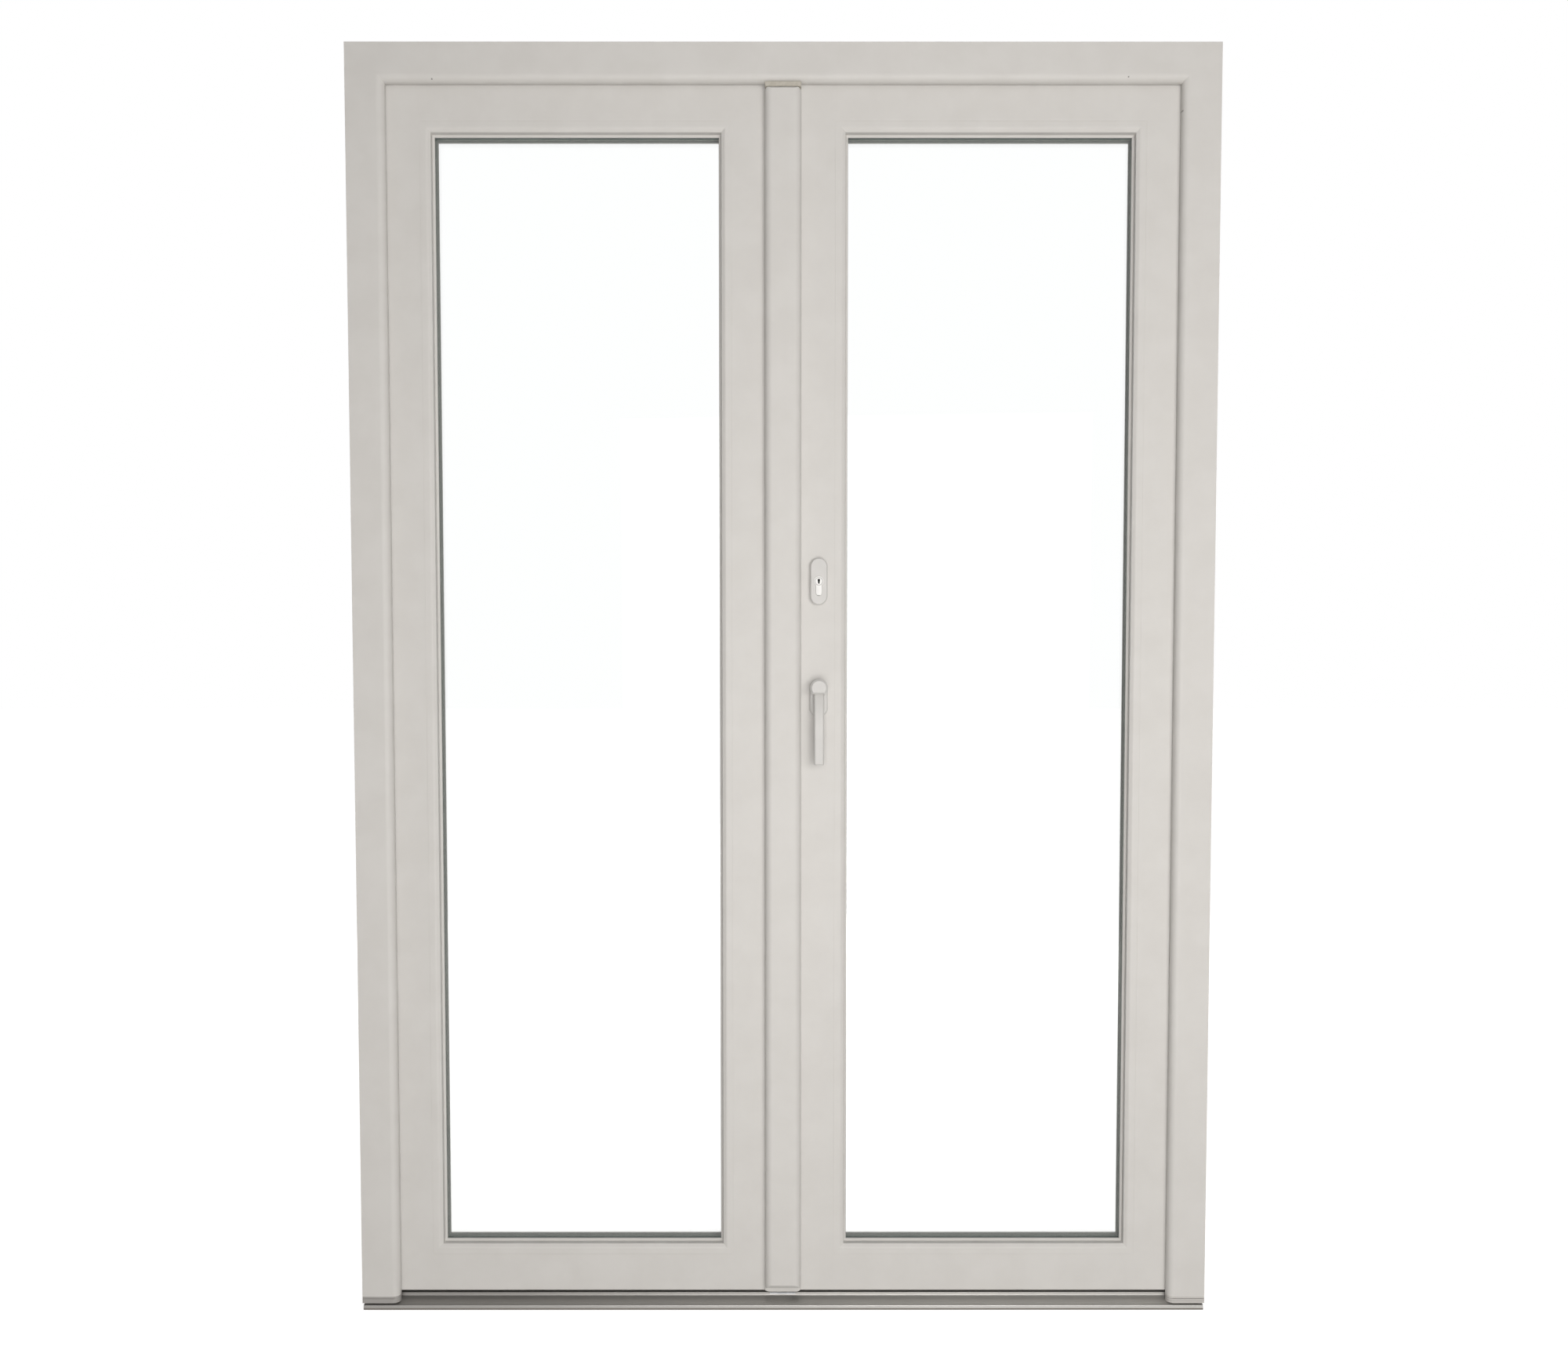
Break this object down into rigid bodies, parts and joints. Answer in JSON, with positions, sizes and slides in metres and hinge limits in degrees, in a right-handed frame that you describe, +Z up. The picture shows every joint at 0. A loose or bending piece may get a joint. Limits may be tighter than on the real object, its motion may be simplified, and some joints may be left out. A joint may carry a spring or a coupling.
{
  "type": "french doors",
  "caption": "Outward-opening glazed double doors in a white plastic frame, with a meeting cover, a lever handle, a lock cylinder, outside hinges and a low metal threshold.",
  "frame": {"origin": "centre of the threshold's underside, halfway through the frame's depth", "axes": "+X to the right as seen from the room, +Y from the room to the outside, +Z up"},
  "size_m": [1.48, 0.1219, 2.18],
  "materials": {
    "beige_foam": "open foam",
    "brush_seal": "dark pile",
    "clear_glass": "clear",
    "dark_spacer": "dark grey",
    "galvanised_steel": "zinc plated",
    "grey_cap": "light grey",
    "grey_seal": "soft grey",
    "light_grey_seal": "soft light grey",
    "packer_plastic": "plain",
    "polished_metal": "satin nickel",
    "threshold_aluminium": "satin",
    "white_cap": "white",
    "white_coated_metal": "white powder coat",
    "white_plastic": "white satin"
  },
  "bodies": {
    "frame": {"outer_frame": "white_plastic", "frame_steels": "galvanised_steel", "frame_gasket": "grey_seal", "threshold": "threshold_aluminium", "threshold_seal": "brush_seal", "head_seal_pad": "beige_foam", "top_bolt_keep": "galvanised_steel", "bottom_bolt_keep": "galvanised_steel", "left_foot_connector": "grey_cap", "right_foot_connector": "grey_cap", "left_hinge_frame_wings": "white_coated_metal", "right_hinge_frame_wings": "white_coated_metal", "left_hinge_pins": "galvanised_steel", "right_hinge_pins": "galvanised_steel"},
    "passive_leaf": {"left_sash": "white_plastic", "left_sash_steels": "galvanised_steel", "left_sash_gasket": "grey_seal", "left_glass_seals": "light_grey_seal", "left_inner_pane": "clear_glass", "left_outer_pane": "clear_glass", "left_spacer": "dark_spacer", "left_glazing_blocks": "packer_plastic", "left_hinge_leaf_wings": "white_coated_metal", "left_leaf_left_bead": "white_plastic", "left_leaf_right_bead": "white_plastic", "left_leaf_top_bead": "white_plastic", "left_leaf_bottom_bead": "white_plastic", "meeting_cover": "white_plastic", "meeting_cover_top_cap": "white_cap", "meeting_cover_bottom_cap": "white_cap", "meeting_cover_gasket": "grey_seal", "cam_keeps": "galvanised_steel"},
    "active_leaf": {"right_sash": "white_plastic", "right_sash_steels": "galvanised_steel", "right_sash_gasket": "grey_seal", "right_glass_seals": "light_grey_seal", "right_inner_pane": "clear_glass", "right_outer_pane": "clear_glass", "right_spacer": "dark_spacer", "right_glazing_blocks": "packer_plastic", "right_hinge_leaf_wings": "white_coated_metal", "right_leaf_left_bead": "white_plastic", "right_leaf_right_bead": "white_plastic", "right_leaf_top_bead": "white_plastic", "right_leaf_bottom_bead": "white_plastic", "handle_rosette": "white_coated_metal", "inner_escutcheon": "white_coated_metal", "outer_escutcheon": "white_coated_metal", "cylinder_body": "polished_metal", "lock_case": "galvanised_steel", "lock_faceplate": "galvanised_steel"},
    "handle": {"handle_lever": "white_coated_metal", "handle_spindle": "galvanised_steel"},
    "drive": {"drive_rod": "galvanised_steel", "locking_cams": "galvanised_steel"},
    "key_plug": {"cylinder_plug": "polished_metal", "cylinder_cam": "galvanised_steel"},
    "top_bolt": {"top_shoot_bolt": "galvanised_steel"},
    "bottom_bolt": {"bottom_shoot_bolt": "galvanised_steel"}
  },
  "joints": [
    {"name": "active_leaf_hinge", "type": "hinge", "parent": "frame", "child": "active_leaf", "pos_m": [0.717, 0.057, 1.08], "axis": [0, 0, 1], "range_deg": [-100, 0]},
    {"name": "passive_leaf_hinge", "type": "hinge", "parent": "frame", "child": "passive_leaf", "pos_m": [-0.717, 0.057, 1.08], "axis": [0, 0, 1], "range_deg": [0, 90]},
    {"name": "handle_turn", "type": "hinge", "parent": "active_leaf", "child": "handle", "pos_m": [0.061, -0.015, 1.0925], "axis": [0, -1, 0], "range_deg": [0, 90]},
    {"name": "drive_rod_slide", "type": "slide", "parent": "active_leaf", "child": "drive", "axis": [0, 0, 1], "range_m": [0, 0.018]},
    {"name": "key_turn", "type": "hinge", "parent": "active_leaf", "child": "key_plug", "pos_m": [0.061, 0.01, 1.276], "axis": [0, 1, 0], "continuous": true},
    {"name": "top_bolt_slide", "type": "slide", "parent": "passive_leaf", "child": "top_bolt", "axis": [0, 0, 1], "range_m": [0, 0.012]},
    {"name": "bottom_bolt_slide", "type": "slide", "parent": "passive_leaf", "child": "bottom_bolt", "axis": [0, 0, -1], "range_m": [0, 0.012]}
  ],
  "couplings": [
    {"joint": "passive_leaf_hinge", "follows": "active_leaf_hinge", "ratio": -0.9},
    {"joint": "drive_rod_slide", "follows": "handle_turn", "m_per_rad": 0.011458}
  ]
}
